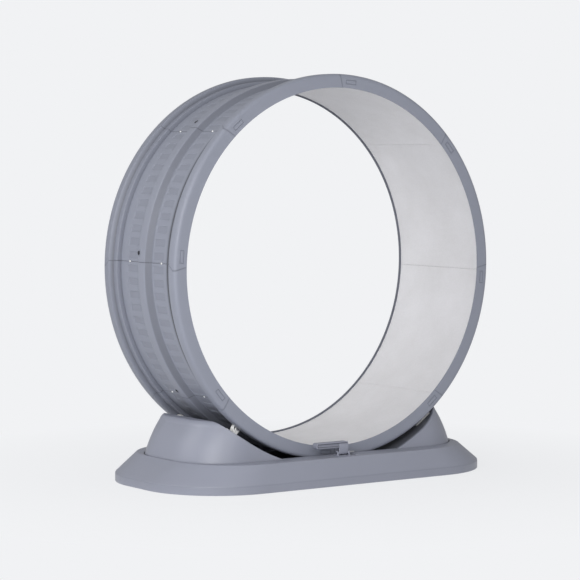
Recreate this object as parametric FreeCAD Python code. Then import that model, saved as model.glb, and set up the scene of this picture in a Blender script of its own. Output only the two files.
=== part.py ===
import FreeCAD, Part
import math
import os
from FreeCAD import Vector

# Cat exercise wheel: a drum of bolted arc segments that turns on small rollers in a moulded base.
# Frame: origin on the floor under the middle of the base, X to the right, front towards -Y, Z up.
# All sizes in millimetres, angles in degrees.

# --- drum ---
wheel_radius = 450.0          # over the two outer flanges
wheel_floor_gap = 50.0        # floor to the lowest point of the drum
wheel_width = 314.0           # face to face
segment_count = 8
seam_phase = 2.3              # seams stand this far clockwise of the 45 degree marks
seam_gap = 0.4
wall = 3.0                    # moulded wall of the drum
flange_width = 24.0           # flat outer rim beside each face
face_round = 10.0             # rounded edge between face and flange
flange_slope_run = 5.0        # side wall of the flange, measured along Y
step_drop = 11.0              # flange top down to the roller track
track_width = 16.0            # the track that the rollers run on
track_slope_run = 1.0
channel_drop = 20.0           # flange top down to the channel floor
rib_drop = 8.0                # flange top down to the centre rib
rib_top_width = 26.0
rib_slope_run = 14.0
lip_depth = 32.0              # flange top down to the inner edge of the face

# lap joint, screw and snap at each seam
lap_length = 22.0             # tongue under the neighbouring segment, along the rim
lap_clearance = 0.2
lap_side_inset = 3.0          # tongue edges stay inside the channels' outer sides
screw_offset = 20.3           # screw from the seam, along the rim
screw_side = 13.0             # screw from the middle plane, towards the rear
screw_boss_radius = 6.5
counterbore_radius = 4.5
counterbore_floor = 3.0       # material left above the deck under the screw head
screw_radius = 2.0
screw_head_radius = 3.8
screw_head_height = 2.4
drive_width_share = 0.45       # recess in a screw head, of its radius and its height
drive_depth_share = 0.5
hole_clearance = 0.1
seam_notch_radius = 3.0       # small round notch where two channel floors meet
window_offset = 18.0          # snap window from the seam, along the rim
window_length = 30.0
window_height = 11.0
window_groove = 2.0           # width of the groove round the snap
window_depth = 1.0
window_drop = 18.0            # flange top down to the window's middle

# running mat
mat_thickness = 5.2
mat_clearance = 0.3

# --- rollers ---
roller_angle = 36.0           # each side of the lowest point
roller_radius = 10.5
roller_width = 12.0
roller_round = 2.0
running_gap = 0.3             # between roller and track
bearing_outer_radius = 8.0
bearing_bore_radius = 2.5
bearing_width = 5.0
bearing_race = 1.6            # wall of each bearing ring
bearing_shield_inset = 0.4
shaft_clearance = 0.05
cheek_gap = 0.7               # roller end to cradle cheek
cheek_thickness = 2.5
cheek_head = 5.5              # cheek above and beside the axle's middle
cradle_flange = 3.0
cradle_flange_length = 24.0   # half length along the trough
cradle_screw_at = 18.5        # from the roller's middle along the trough
cradle_screw_radius = 1.75
cradle_screw_length = 9.0
cradle_screw_head_radius = 3.4
cradle_screw_head_height = 1.8
axle_head_radius = 4.0
axle_head_height = 1.2

# --- base ---
trough_gap = 17.0             # drum flange to trough
base_wall = 3.0
base_overhang = 5.0           # base past the drum at each end
base_half_length = wheel_radius + base_overhang
base_side_reach = 80.0        # base past the drum's face, at front and rear
base_half_depth = wheel_width / 2 + base_side_reach
base_corner = 190.0
foot_height = 4.0
lip_gap = 0.5                 # lower edge of the shell above the floor
lip_top = 20.0                # top of the upright edge
ledge_height = 64.0
ledge_end_inset = 63.0        # ledge inside the base's outline, at each end and at front and rear
ledge_side_inset = 18.0
ledge_half_length = base_half_length - ledge_end_inset
ledge_half_depth = base_half_depth - ledge_side_inset
ledge_corner = 156.0
ledge_round = 6.0
pit_clearance = 4.0           # drum face to the beam beside it
hump_height = 155.0
# share of the hump's height, inset from the ledge at the ends and at front and rear, corner radius
hump_sections = ((0.0, 3.0, 46.0, 130.0), (0.5, 18.0, 58.0, 124.0),
                 (0.8, 36.0, 63.0, 118.0), (1.0, 52.0, 68.0, 110.0))
hump_sink = 12.0              # the hump's lowest section below the ledge
hump_round = 12.0
floor_thickness = 3.0
floor_clearance = 0.4
foot_radius = 15.0
foot_plug_radius = 5.0
foot_end_inset = 95.0         # feet at the ends, inside the base's outline
foot_end_side_inset = 127.0
foot_side_inset = 41.0        # feet at front and rear
foot_side_x = 130.0
foot_places = ((base_half_length - foot_end_inset, base_half_depth - foot_end_side_inset),
               (foot_side_x, base_half_depth - foot_side_inset))
base_boss_radius = 6.0
base_boss_end_inset = 193.0
base_boss_side_inset = 45.0
base_boss_reach = base_half_length - base_boss_end_inset
base_boss_x = (-base_boss_reach, 0.0, base_boss_reach)
base_boss_y = base_half_depth - base_boss_side_inset
base_screw_radius = 2.0
base_screw_length = 16.0
base_screw_head_radius = 4.0
base_screw_head_height = 2.2

# --- latch ---
latch_x = -7.5                # middle of the mount
latch_drum_gap = 37.0         # pin in front of the drum's face
latch_y = -(wheel_width / 2 + latch_drum_gap)
latch_plate = (51.0, 30.0, 1.5)
latch_ear_thickness = 5.0
latch_ear_radius = 4.0
latch_pin_height = 7.0        # above the ledge
latch_pin_radius = 1.6
latch_barrel_radius = 4.0
latch_side_gap = 0.4
latch_stem_width = 26.0
latch_stem_thickness = 5.5
latch_arm_low = 19.5          # above the ledge
latch_arm_high = 33.5
latch_arm_reach = 91.0        # from the stem's outer side to the free end
latch_arm_front = 6.0         # arm in front of the pin
latch_arm_back = 12.0         # arm behind the pin
latch_dish_depth = 2.0
latch_dish_margin = 3.0       # arm left above and below the dish
latch_arm_round = 1.5         # on the arm's long edges
latch_arm_corner = 5.6        # upper corner over the stem
latch_screw_radius = 1.5
latch_screw_head_radius = 2.8
latch_screw_head_height = 1.4
latch_screw_length = 7.0
latch_screw_place = (19.0, 11.0)
latch_boss_radius = 3.6
latch_boss_depth = 14.0

# --- derived places ---
wheel_centre = Vector(0, 0, wheel_floor_gap + wheel_radius)
half_width = wheel_width / 2
segment_angle = 360.0 / segment_count
track_radius = wheel_radius - step_drop
deck_radius = wheel_radius - channel_drop
deck_inner = deck_radius - wall
mat_outer = deck_inner - mat_clearance
flange_inner = half_width - flange_width
track_outer = flange_inner - flange_slope_run
track_inner = track_outer - track_width
channel_outer = track_inner - track_slope_run
rib_foot = rib_top_width / 2 + rib_slope_run
trough_radius = wheel_radius + trough_gap
roller_orbit = track_radius + running_gap + roller_radius
roller_side = (track_inner + track_outer) / 2
latch_pin_z = ledge_height + latch_pin_height


def degrees_along(length, radius):
    return math.degrees(length / radius)


def polygon_face(points):
    return Part.Face(Part.makePolygon([Vector(*p) for p in points + points[:1]]))


def box_between(low, high):
    return Part.makeBox(high[0] - low[0], high[1] - low[1], high[2] - low[2], Vector(*low))


def cylinder(radius, start, end):
    path = end.sub(start)
    return Part.makeCylinder(radius, path.Length, start, path)


def save(name, shape):
    shape.exportStep("parts/" + name + ".step")


# Drum sections are drawn level, as (radius along X, side along Y), and turned about the drum's axis.
def drum_point(radius, along):
    return (radius, along, 0.0)


def turned(face, start_angle, sweep):
    """Revolve a section about the drum axis; angles are anticlockwise seen from the front."""
    solid = face.revolve(Vector(0, 0, 0), Vector(0, -1, 0), sweep)
    solid.rotate(Vector(0, 0, 0), Vector(0, -1, 0), start_angle)
    solid.translate(wheel_centre)
    return solid


def ring_sector(inner, outer, low, high, start_angle, sweep):
    corners = [drum_point(inner, low), drum_point(outer, low), drum_point(outer, high),
               drum_point(inner, high)]
    return turned(polygon_face(corners), start_angle, sweep)


def segment_outline():
    """Closed wire round the section: inner side straight, outer side flange, track, channel, rib."""
    rib = rib_top_width / 2
    side = [(wheel_radius - rib_drop, rib), (deck_radius, rib_foot), (deck_radius, channel_outer),
            (track_radius, track_inner), (track_radius, track_outer), (wheel_radius, flange_inner),
            (wheel_radius, half_width - face_round)]
    mirrored = [(radius, -along) for radius, along in reversed(side)]
    edges = []
    chain = [Vector(*drum_point(*p)) for p in mirrored + side]
    for start, end in zip(chain, chain[1:]):
        edges.append(Part.LineSegment(start, end).toShape())
    diagonal = face_round * math.sqrt(0.5)
    inner_edge = wheel_radius - lip_depth
    for sign in (1, -1):
        top = Vector(wheel_radius, sign * (half_width - face_round), 0)
        middle = Vector(wheel_radius - face_round + diagonal, sign * (half_width - face_round + diagonal), 0)
        corner = Vector(wheel_radius - face_round, sign * half_width, 0)
        tip = Vector(inner_edge, sign * half_width, 0)
        tip_inner = Vector(inner_edge, sign * (half_width - wall), 0)
        root = Vector(deck_inner, sign * (half_width - wall), 0)
        edges.append(Part.Arc(top, middle, corner).toShape())
        edges.append(Part.LineSegment(corner, tip).toShape())
        edges.append(Part.LineSegment(tip, tip_inner).toShape())
        edges.append(Part.LineSegment(tip_inner, root).toShape())
    across = (Vector(deck_inner, -(half_width - wall), 0), Vector(deck_inner, half_width - wall, 0))
    edges.append(Part.LineSegment(*across).toShape())
    return Part.Wire(Part.__sortEdges__(edges))


def rim_cavity(sign):
    """Hollow between the deck, the face and the flange."""
    points = [(deck_radius, track_inner + wall), (deck_radius, half_width - wall),
              (wheel_radius - face_round, half_width - wall), (wheel_radius - wall, half_width - face_round),
              (wheel_radius - wall, flange_inner + wall / 2), (track_radius - wall, track_outer + wall / 2),
              (track_radius - wall, track_inner + wall)]
    return polygon_face([drum_point(radius, sign * along) for radius, along in points])


def rib_cavity():
    """Hollow under the centre rib."""
    top = wheel_radius - rib_drop - wall
    half_top = rib_top_width / 2 - wall / 2
    half_foot = rib_foot - 1.5 * wall
    points = [(deck_radius, -half_foot), (top, -half_top), (top, half_top), (deck_radius, half_foot)]
    return polygon_face([drum_point(*p) for p in points])


def radial(radius, angle, along):
    """Point at a radius from the drum axis; the angle is anticlockwise seen from the front."""
    turn = math.radians(angle)
    return wheel_centre + Vector(radius * math.cos(turn), along, radius * math.sin(turn))


def seam_angle(index):
    return segment_angle * index - seam_phase


def at_angle(shape, angle):
    """Turn a shape modelled at angle 0 (towards +X) to its place round the drum."""
    placed = shape.copy()
    placed.rotate(wheel_centre, Vector(0, -1, 0), angle)
    return placed


def snap_window(sign):
    """Groove round a snap, cut in one face of the drum, centred on angle 0."""
    middle = wheel_radius - window_drop
    outside = sign * half_width
    inside = sign * (half_width - window_depth)
    low, high = min(outside, inside), max(outside, inside)
    half_h, half_l = window_height / 2, window_length / 2
    x_mid = wheel_centre.x + middle
    z_mid = wheel_centre.z
    outer = box_between((x_mid - half_h, low, z_mid - half_l), (x_mid + half_h, high, z_mid + half_l))
    half_h -= window_groove
    half_l -= window_groove
    core = box_between((x_mid - half_h, low, z_mid - half_l), (x_mid + half_h, high, z_mid + half_l))
    return outer.cut(core)


def first_segment():
    """Segment from seam angle 0 to one segment on; its tongue lies below angle 0, its boss at the far end."""
    section = Part.Face(segment_outline())
    for cavity in (rim_cavity(1), rim_cavity(-1), rib_cavity()):
        section = section.cut(cavity)
    gap = degrees_along(seam_gap, deck_radius)
    solid = turned(section.Faces[0], gap / 2, segment_angle - gap)
    lap = degrees_along(lap_length, deck_radius)
    tongue_side = channel_outer - lap_side_inset
    half_deck = wall / 2
    tongue = ring_sector(deck_inner, deck_radius - half_deck - lap_clearance / 2, -tongue_side, tongue_side,
                         -lap, lap + gap)
    solid = solid.fuse(tongue)
    far = segment_angle
    lap_room = ring_sector(deck_inner - 1, deck_radius - half_deck + lap_clearance / 2,
                           -tongue_side - lap_clearance, tongue_side + lap_clearance,
                           far - lap - degrees_along(2 * lap_clearance, deck_radius), lap + 1)
    solid = solid.cut(lap_room)
    screw_turn = degrees_along(screw_offset, deck_radius)
    rib_top = wheel_radius - rib_drop
    boss_axis = [radial(r, far - screw_turn, screw_side) for r in (deck_radius - half_deck / 2, rib_top)]
    solid = solid.fuse(cylinder(screw_boss_radius, *boss_axis))
    bore_axis = [radial(r, far - screw_turn, screw_side) for r in (deck_radius + counterbore_floor,
                                                                   rib_top + 1)]
    solid = solid.cut(cylinder(counterbore_radius, *bore_axis))
    for turn in (far - screw_turn, -screw_turn):
        hole_axis = [radial(r, turn, screw_side) for r in (deck_inner - 1,
                                                           deck_radius + counterbore_floor + 1)]
        solid = solid.cut(cylinder(screw_radius + hole_clearance, *hole_axis))
    for turn in (0, far):
        for along in ((rib_foot + channel_outer) / 2, -(rib_foot + channel_outer) / 2):
            notch_axis = [radial(r, turn, along) for r in (deck_inner - 1, deck_radius + 1)]
            solid = solid.cut(cylinder(seam_notch_radius, *notch_axis))
    window_turn = degrees_along(window_offset, deck_radius)
    for sign in (1, -1):
        solid = solid.cut(at_angle(snap_window(sign), far - window_turn))
    return solid


def make_segments():
    pattern = first_segment()
    for index in range(segment_count):
        save("wheel_segment_%d" % (index + 1), at_angle(pattern, seam_angle(index)))


def make_mats():
    side = half_width - wall - mat_clearance
    gap = degrees_along(seam_gap, mat_outer)
    pattern = ring_sector(mat_outer - mat_thickness, mat_outer, -side, side, gap / 2, segment_angle - gap)
    for index in range(segment_count):
        save("running_mat_%d" % (index + 1), at_angle(pattern, seam_angle(index)))


def pan_screw(head_start, head_height, tip, head_radius, shank_radius):
    """Screw along the line from head_start to tip, with a round drive recess in its head."""
    direction = tip.sub(head_start).normalize()
    seat = head_start + direction * head_height
    head = cylinder(head_radius, head_start, seat)
    drive_end = head_start + direction * (head_height * drive_depth_share)
    drive = cylinder(head_radius * drive_width_share, head_start, drive_end)
    return head.cut(drive).fuse(cylinder(shank_radius, seat, tip))


def make_segment_screws():
    screws = []
    turn = degrees_along(screw_offset, deck_radius)
    seat = deck_radius + counterbore_floor
    for index in range(segment_count):
        angle = seam_angle(index) - turn
        screws.append(pan_screw(radial(seat + screw_head_height, angle, screw_side), screw_head_height,
                                radial(deck_inner, angle, screw_side), screw_head_radius, screw_radius))
    save("segment_screws", Part.makeCompound(screws))


# Rollers and cradles are modelled below the drum, at its lowest point, and then swung to their places.
def swung(shape, side_sign, front_sign):
    placed = shape.copy()
    placed.translate(Vector(0, front_sign * roller_side, 0))
    placed.rotate(wheel_centre, Vector(0, -1, 0), side_sign * roller_angle)
    return placed


def below(radius, along_x=0.0, along_y=0.0):
    return Vector(along_x, along_y, wheel_centre.z - radius)


def across_y(radius, half_length, orbit):
    start = below(orbit, 0, -half_length)
    return cylinder(radius, start, start + Vector(0, 2 * half_length, 0))


def roller_body():
    tyre = across_y(roller_radius, roller_width / 2, roller_orbit)
    rims = [edge for edge in tyre.Edges if isinstance(edge.Curve, Part.Circle)]
    tyre = tyre.makeFillet(roller_round, rims)
    return tyre.cut(across_y(bearing_outer_radius, roller_width, roller_orbit))


def bearing_body():
    ring = across_y(bearing_outer_radius, bearing_width / 2, roller_orbit)
    ring = ring.cut(across_y(bearing_bore_radius + shaft_clearance, bearing_width, roller_orbit))
    groove = across_y(bearing_outer_radius - bearing_race, bearing_width, roller_orbit)
    groove = groove.cut(across_y(bearing_bore_radius + bearing_race, 2 * bearing_width, roller_orbit))
    shield = bearing_width / 2 - bearing_shield_inset
    slab = box_between((-roller_radius, -shield, wheel_centre.z - roller_orbit - roller_radius),
                       (roller_radius, shield, wheel_centre.z - roller_orbit + roller_radius))
    return ring.cut(groove.cut(slab))


cheek_inner = roller_width / 2 + cheek_gap
cheek_outer = cheek_inner + cheek_thickness
trough_seat = trough_radius - shaft_clearance


def axle_body():
    shaft = across_y(bearing_bore_radius, cheek_outer, roller_orbit)
    for sign in (1, -1):
        start = below(roller_orbit, 0, sign * cheek_outer)
        end = start + Vector(0, sign * axle_head_height, 0)
        shaft = shaft.fuse(cylinder(axle_head_radius, start, end))
    return shaft


def arc_slab(inner, outer, half_length, half_side):
    """Sector of the trough's curve below the drum, half_length each way round."""
    half_turn = degrees_along(half_length, outer)
    return ring_sector(inner, outer, -half_side, half_side, -90 - half_turn, 2 * half_turn)


def cradle_body():
    """Curved plate on the trough with two round-headed cheeks that hold the axle."""
    body = arc_slab(trough_seat - cradle_flange, trough_seat, cradle_flange_length, cheek_outer)
    foot_low = wheel_centre.z - trough_seat + cradle_flange / 2
    for sign in (1, -1):
        near, far = sign * cheek_inner, sign * cheek_outer
        foot = box_between((-cheek_head, min(near, far), foot_low),
                           (cheek_head, max(near, far), wheel_centre.z - roller_orbit))
        head = cylinder(cheek_head, below(roller_orbit, 0, near), below(roller_orbit, 0, far))
        body = body.fuse(foot).fuse(head)
        body = body.cut(cradle_screw_line(sign, cradle_screw_radius + hole_clearance, -1.0, 1.0))
    return body.cut(across_y(bearing_bore_radius + shaft_clearance, 2 * cheek_outer, roller_orbit))


def cradle_screw_line(sign, radius, before, after):
    """Cylinder square to the trough at a cradle screw, from before the flange to after its seat."""
    turn = -90 + sign * degrees_along(cradle_screw_at, trough_radius)
    start = radial(trough_seat - cradle_flange + before, turn, 0)
    return cylinder(radius, start, radial(trough_seat + after, turn, 0))


def cradle_screw(sign):
    turn = -90 + sign * degrees_along(cradle_screw_at, trough_radius)
    seat = trough_seat - cradle_flange - shaft_clearance
    return pan_screw(radial(seat - cradle_screw_head_height, turn, 0), cradle_screw_head_height,
                     radial(seat + cradle_screw_length, turn,
                            0), cradle_screw_head_radius, cradle_screw_radius)


def corners():
    for side_name, side_sign in (("left", -1), ("right", 1)):
        for end_name, front_sign in (("front", -1), ("rear", 1)):
            yield side_name + "_" + end_name, side_sign, front_sign


def make_rollers():
    pieces = {"roller": roller_body(), "bearing": bearing_body(), "axle": axle_body(),
              "cradle": cradle_body()}
    screws = []
    for place, side_sign, front_sign in corners():
        for name, body in pieces.items():
            save(name + "_" + place, swung(body, side_sign, front_sign))
        for sign in (1, -1):
            screws.append(swung(cradle_screw(sign), side_sign, front_sign))
    save("cradle_screws", Part.makeCompound(screws))


def rounded_outline(half_x, half_y, corner, height):
    """Rounded rectangle of four lines and four arcs, always starting at the same corner."""
    edges = []
    straight_x, straight_y = half_x - corner, half_y - corner
    slant = corner * math.sqrt(0.5)
    for sx, sy in ((1, 1), (-1, 1), (-1, -1), (1, -1)):
        centre = Vector(sx * straight_x, sy * straight_y, height)
        across = centre + Vector(sx * corner, 0, 0)
        along = centre + Vector(0, sy * corner, 0)
        middle = centre + Vector(sx * slant, sy * slant, 0)
        first, last = (across, along) if sx * sy > 0 else (along, across)
        edges.append((first, middle, last))
    wire = []
    for number, (first, middle, last) in enumerate(edges):
        wire.append(Part.Arc(first, middle, last).toShape())
        following = edges[(number + 1) % 4][0]
        wire.append(Part.LineSegment(last, following).toShape())
    return Part.Wire(wire)


def skirt(inset, top, bottom):
    lip = Part.Face(rounded_outline(base_half_length - inset, base_half_depth - inset, base_corner - inset,
                                    bottom))
    lip = lip.extrude(Vector(0, 0, lip_top - bottom))
    low = rounded_outline(base_half_length - inset, base_half_depth - inset, base_corner - inset, lip_top)
    high = rounded_outline(ledge_half_length - inset, ledge_half_depth - inset, ledge_corner - inset, top)
    return lip.fuse(Part.makeLoft([low, high], True, True)).removeSplitter()


def top_edges(shape, height):
    return [e for e in shape.Edges if abs(e.BoundBox.ZMin - height) < 0.01 and e.BoundBox.ZLength < 0.01]


def hump(inset, top):
    foot = ledge_height - hump_sink
    outlines = []
    for share, end_inset, side_inset, corner in hump_sections:
        height = foot + share * (top - foot)
        half_x = ledge_half_length - end_inset - inset
        half_y = ledge_half_depth - side_inset - inset
        outlines.append(rounded_outline(half_x, half_y, corner - inset, height))
    return Part.makeLoft(outlines, True, False)


def trough_cylinder(growth, half_length):
    start = wheel_centre - Vector(0, half_length, 0)
    return cylinder(trough_radius + growth, start, start + Vector(0, 2 * half_length, 0))


def base_shell():
    pit = half_width + pit_clearance
    long_way = 2 * base_half_depth
    outer_skirt = skirt(0.0, ledge_height, lip_gap)
    outer_skirt = outer_skirt.makeFillet(ledge_round, top_edges(outer_skirt, ledge_height))
    outer_hump = hump(0.0, hump_height)
    outer_hump = outer_hump.makeFillet(hump_round, top_edges(outer_hump, hump_height))
    outer = outer_skirt.cut(trough_cylinder(0, pit)).fuse(outer_hump.cut(trough_cylinder(0, long_way)))
    inner_skirt = skirt(base_wall, ledge_height - base_wall, lip_gap - base_wall)
    inner_hump = hump(base_wall, hump_height - base_wall)
    inner = inner_skirt.cut(trough_cylinder(base_wall, pit + base_wall))
    inner = inner.fuse(inner_hump.cut(trough_cylinder(base_wall, long_way)))
    shell = outer.cut(inner)
    for x in base_boss_x:
        for sign in (1, -1):
            foot = Vector(x, sign * base_boss_y, foot_height + floor_thickness + floor_clearance)
            shell = shell.fuse(cylinder(base_boss_radius, foot,
                                        Vector(x, foot.y, ledge_height - base_wall / 2)))
            tip = Vector(x, foot.y, foot.z + base_screw_length)
            shell = shell.cut(cylinder(base_screw_radius + shaft_clearance, foot - Vector(0, 0, 1), tip))
    for place, side_sign, front_sign in corners():
        for sign in (1, -1):
            boss = cradle_screw_line(sign, 2 * cradle_screw_radius, cradle_flange + base_wall / 2,
                                     cradle_screw_length)
            shell = shell.fuse(swung(boss, side_sign, front_sign))
            hole = cradle_screw_line(sign, cradle_screw_radius + shaft_clearance, 0,
                                     cradle_screw_length - cradle_flange)
            shell = shell.cut(swung(hole, side_sign, front_sign))
    for x, y in latch_screw_points():
        top = Vector(x, y, ledge_height)
        shell = shell.fuse(cylinder(latch_boss_radius, top - Vector(0, 0, latch_boss_depth),
                                    top - Vector(0, 0, base_wall / 2)))
        shell = shell.cut(cylinder(latch_screw_radius + shaft_clearance,
                                   top - Vector(0, 0, latch_screw_length),
                                   top + Vector(0, 0, 1)))
    return shell


def base_floor():
    inset = base_wall + floor_clearance
    outline = rounded_outline(base_half_length - inset, base_half_depth - inset, base_corner - inset,
                              foot_height)
    plate = Part.Face(outline).extrude(Vector(0, 0, floor_thickness))
    for x in base_boss_x:
        for sign in (1, -1):
            start = Vector(x, sign * base_boss_y, 0)
            plate = plate.cut(cylinder(base_screw_radius + hole_clearance, start,
                                       start + Vector(0, 0, ledge_height)))
    for x, y in foot_points():
        start = Vector(x, y, 0)
        plate = plate.cut(cylinder(foot_plug_radius + hole_clearance, start,
                                   start + Vector(0, 0, ledge_height)))
    return plate


def foot_points():
    return [(sx * x, sy * y) for x, y in foot_places for sx in (1, -1) for sy in (1, -1)]


def make_base():
    save("base_shell", base_shell())
    save("base_floor", base_floor())
    feet = []
    for x, y in foot_points():
        pad = cylinder(foot_radius, Vector(x, y, 0), Vector(x, y, foot_height))
        feet.append(pad.fuse(cylinder(foot_plug_radius, Vector(x, y, 0),
                                      Vector(x, y, foot_height + floor_thickness))))
    save("rubber_feet", Part.makeCompound(feet))
    screws = []
    for x in base_boss_x:
        for sign in (1, -1):
            y = sign * base_boss_y
            tip = foot_height + floor_thickness + floor_clearance + base_screw_length
            screws.append(pan_screw(Vector(x, y, foot_height - base_screw_head_height),
                                    base_screw_head_height,
                                    Vector(x, y, tip), base_screw_head_radius, base_screw_radius))
    save("base_screws", Part.makeCompound(screws))


def latch_screw_points():
    return [(latch_x + sx * latch_screw_place[0], latch_y + latch_screw_place[1]) for sx in (1, -1)]


def along_x(radius, low, high):
    return cylinder(radius, Vector(low, latch_y, latch_pin_z), Vector(high, latch_y, latch_pin_z))


def latch_mount():
    length, depth, thickness = latch_plate
    plate = box_between((latch_x - length / 2, latch_y - depth / 2, ledge_height),
                        (latch_x + length / 2, latch_y + depth / 2, ledge_height + thickness))
    corner_edges = [e for e in plate.Edges if e.BoundBox.ZLength > thickness / 2]
    plate = plate.makeFillet(latch_ear_radius, corner_edges)
    for sign in (1, -1):
        outside = latch_x + sign * length / 2
        inside = outside - sign * latch_ear_thickness
        low, high = min(outside, inside), max(outside, inside)
        web = box_between((low, latch_y - latch_ear_radius, ledge_height),
                          (high, latch_y + latch_ear_radius, latch_pin_z))
        plate = plate.fuse(web).fuse(along_x(latch_ear_radius, low, high))
    plate = plate.cut(along_x(latch_pin_radius + shaft_clearance, latch_x - length, latch_x + length))
    for x, y in latch_screw_points():
        start = Vector(x, y, ledge_height - 1)
        plate = plate.cut(cylinder(latch_screw_radius + hole_clearance, start,
                                   start + Vector(0, 0, latch_plate[2] + 2)))
    return plate


def latch_lever():
    """Barrel on the pin, flat stem up from it, and a rounded arm to the left with a dished finger pad."""
    barrel_low = latch_x - latch_plate[0] / 2 + latch_ear_thickness + latch_side_gap
    barrel_high = latch_x + latch_plate[0] / 2 - latch_ear_thickness - latch_side_gap
    stem_high = barrel_low + latch_stem_width
    barrel = along_x(latch_barrel_radius, barrel_low, barrel_high)
    arm_low = ledge_height + latch_arm_low
    arm_high = ledge_height + latch_arm_high
    stem = box_between((barrel_low, latch_y - latch_stem_thickness / 2, latch_pin_z),
                       (stem_high, latch_y + latch_stem_thickness / 2, (arm_low + arm_high) / 2))
    radius = (arm_high - arm_low) / 2
    free_end = stem_high - latch_arm_reach
    front = latch_y - latch_arm_front
    mid = (arm_low + arm_high) / 2
    corner = latch_arm_corner
    cut_in = corner * (1 - math.sqrt(0.5))
    points = {
        "low_right": Vector(stem_high, front, arm_low),
        "low_left": Vector(free_end + radius, front, arm_low),
        "tip": Vector(free_end, front, mid),
        "high_left": Vector(free_end + radius, front, arm_high),
        "high_right": Vector(stem_high - corner, front, arm_high),
        "round": Vector(stem_high - cut_in, front, arm_high - cut_in),
        "right": Vector(stem_high, front, arm_high - corner),
    }
    wire = Part.Wire([
        Part.LineSegment(points["low_right"], points["low_left"]).toShape(),
        Part.Arc(points["low_left"], points["tip"], points["high_left"]).toShape(),
        Part.LineSegment(points["high_left"], points["high_right"]).toShape(),
        Part.Arc(points["high_right"], points["round"], points["right"]).toShape(),
        Part.LineSegment(points["right"], points["low_right"]).toShape(),
    ])
    arm = Part.Face(wire).extrude(Vector(0, latch_arm_front + latch_arm_back, 0))
    rim_edges = [e for e in arm.Edges if e.BoundBox.YLength < 0.01]
    arm = arm.makeFillet(latch_arm_round, rim_edges)
    dish = slot_solid(free_end + radius, stem_high - latch_stem_width, mid, radius - latch_dish_margin, front)
    arm = arm.cut(dish)
    lever = barrel.fuse(stem).fuse(arm).removeSplitter()
    return lever.cut(along_x(latch_pin_radius + shaft_clearance, barrel_low - 1, barrel_high + 1))


def slot_solid(left, right, height, radius, front):
    """Long round-ended pocket in the arm's front face."""
    depth = Vector(0, latch_dish_depth, 0)
    solid = box_between((left, front, height - radius), (right, front + latch_dish_depth, height + radius))
    for x in (left, right):
        start = Vector(x, front, height)
        solid = solid.fuse(cylinder(radius, start, start + depth))
    return solid


def make_latch():
    save("latch_mount", latch_mount())
    save("latch_lever", latch_lever())
    half = latch_plate[0] / 2
    save("latch_pin", along_x(latch_pin_radius, latch_x - half, latch_x + half))
    screws = []
    for x, y in latch_screw_points():
        seat = ledge_height + latch_plate[2]
        screws.append(pan_screw(Vector(x, y, seat + latch_screw_head_height), latch_screw_head_height,
                                Vector(x, y, ledge_height - latch_screw_length + 1), latch_screw_head_radius,
                                latch_screw_radius))
    save("latch_screws", Part.makeCompound(screws))


os.makedirs("parts", exist_ok=True)
make_segments()
make_mats()
make_segment_screws()
make_rollers()
make_base()
make_latch()
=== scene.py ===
import bmesh
import bpy
import math
import numpy as np
from mathutils import Matrix, Vector


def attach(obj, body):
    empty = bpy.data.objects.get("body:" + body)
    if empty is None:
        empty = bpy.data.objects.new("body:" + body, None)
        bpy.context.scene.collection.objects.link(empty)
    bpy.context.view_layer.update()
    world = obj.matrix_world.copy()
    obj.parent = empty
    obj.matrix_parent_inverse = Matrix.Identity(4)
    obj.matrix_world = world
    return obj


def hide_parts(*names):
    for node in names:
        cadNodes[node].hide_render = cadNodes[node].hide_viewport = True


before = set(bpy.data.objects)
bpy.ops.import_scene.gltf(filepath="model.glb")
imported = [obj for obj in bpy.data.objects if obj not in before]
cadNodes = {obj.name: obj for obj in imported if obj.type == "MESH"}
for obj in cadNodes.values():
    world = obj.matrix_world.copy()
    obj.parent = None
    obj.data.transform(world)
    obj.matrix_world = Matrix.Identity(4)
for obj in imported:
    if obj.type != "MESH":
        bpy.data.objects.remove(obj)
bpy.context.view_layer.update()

print("frame loaded with", len(cadNodes), "nodes")

# Sizes are in millimetres in the dictionaries, and become metres when a mesh is made.
millimetre = 0.001
hair = 0.01                                     # mm that two equal places may differ by
mergeWithin, flatWithin = 0.00001, 0.000005     # metres: points that become one, and faces too flat to keep
corners = ("left_front", "left_rear", "right_front", "right_rear")


def quarterTurn(count):
    return np.linspace(0, math.pi / 2, count)


def fullTurn(count):
    return np.linspace(0, 2 * math.pi, count, endpoint=False)


# From 0 at low to 1 at high by 3s^2 - 2s^3.
def smoothStep(value, low, high):
    share = np.clip((value - low) / (high - low), 0.0, 1.0)
    return share * share * (3.0 - 2.0 * share)


# A soft line given as (middle, width, share): share * exp(-((place - middle) / width)^2).
def softLine(place, line):
    middle, width, share = line
    return share * np.exp(-((place - middle) / width) ** 2)


# The curve (1-t)^2 * start + 2t(1-t) * corner + t^2 * end.
def curve(start, corner, end, t):
    return (1 - t) ** 2 * start + 2 * t * (1 - t) * corner + t ** 2 * end


# A straight path whose corners are swapped for curves that start and end at the given distance from them.
def roundedPath(points, cuts, steps=5):
    points = np.array(points, float)
    t = np.linspace(0.0, 1.0, steps)[:, None]
    path = [points[:1]]
    for before, corner, after, cut in zip(points, points[1:], points[2:], cuts):
        start = corner + (before - corner) / np.linalg.norm(before - corner) * cut
        end = corner + (after - corner) / np.linalg.norm(after - corner) * cut
        path.append(curve(start, corner, end, t))
    path.append(points[-1:])
    return np.concatenate(path)


# Quads of a grid of points that is counted row by row; wrap joins the last column to the first.
def gridQuads(rows, cols, wrap=False):
    row, col = np.meshgrid(np.arange(rows - 1), np.arange(cols if wrap else cols - 1), indexing="ij")
    here, after = row * cols + col, row * cols + (col + 1) % cols
    return np.stack([here, after, after + cols, here + cols], -1).reshape(-1, 4)


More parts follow.
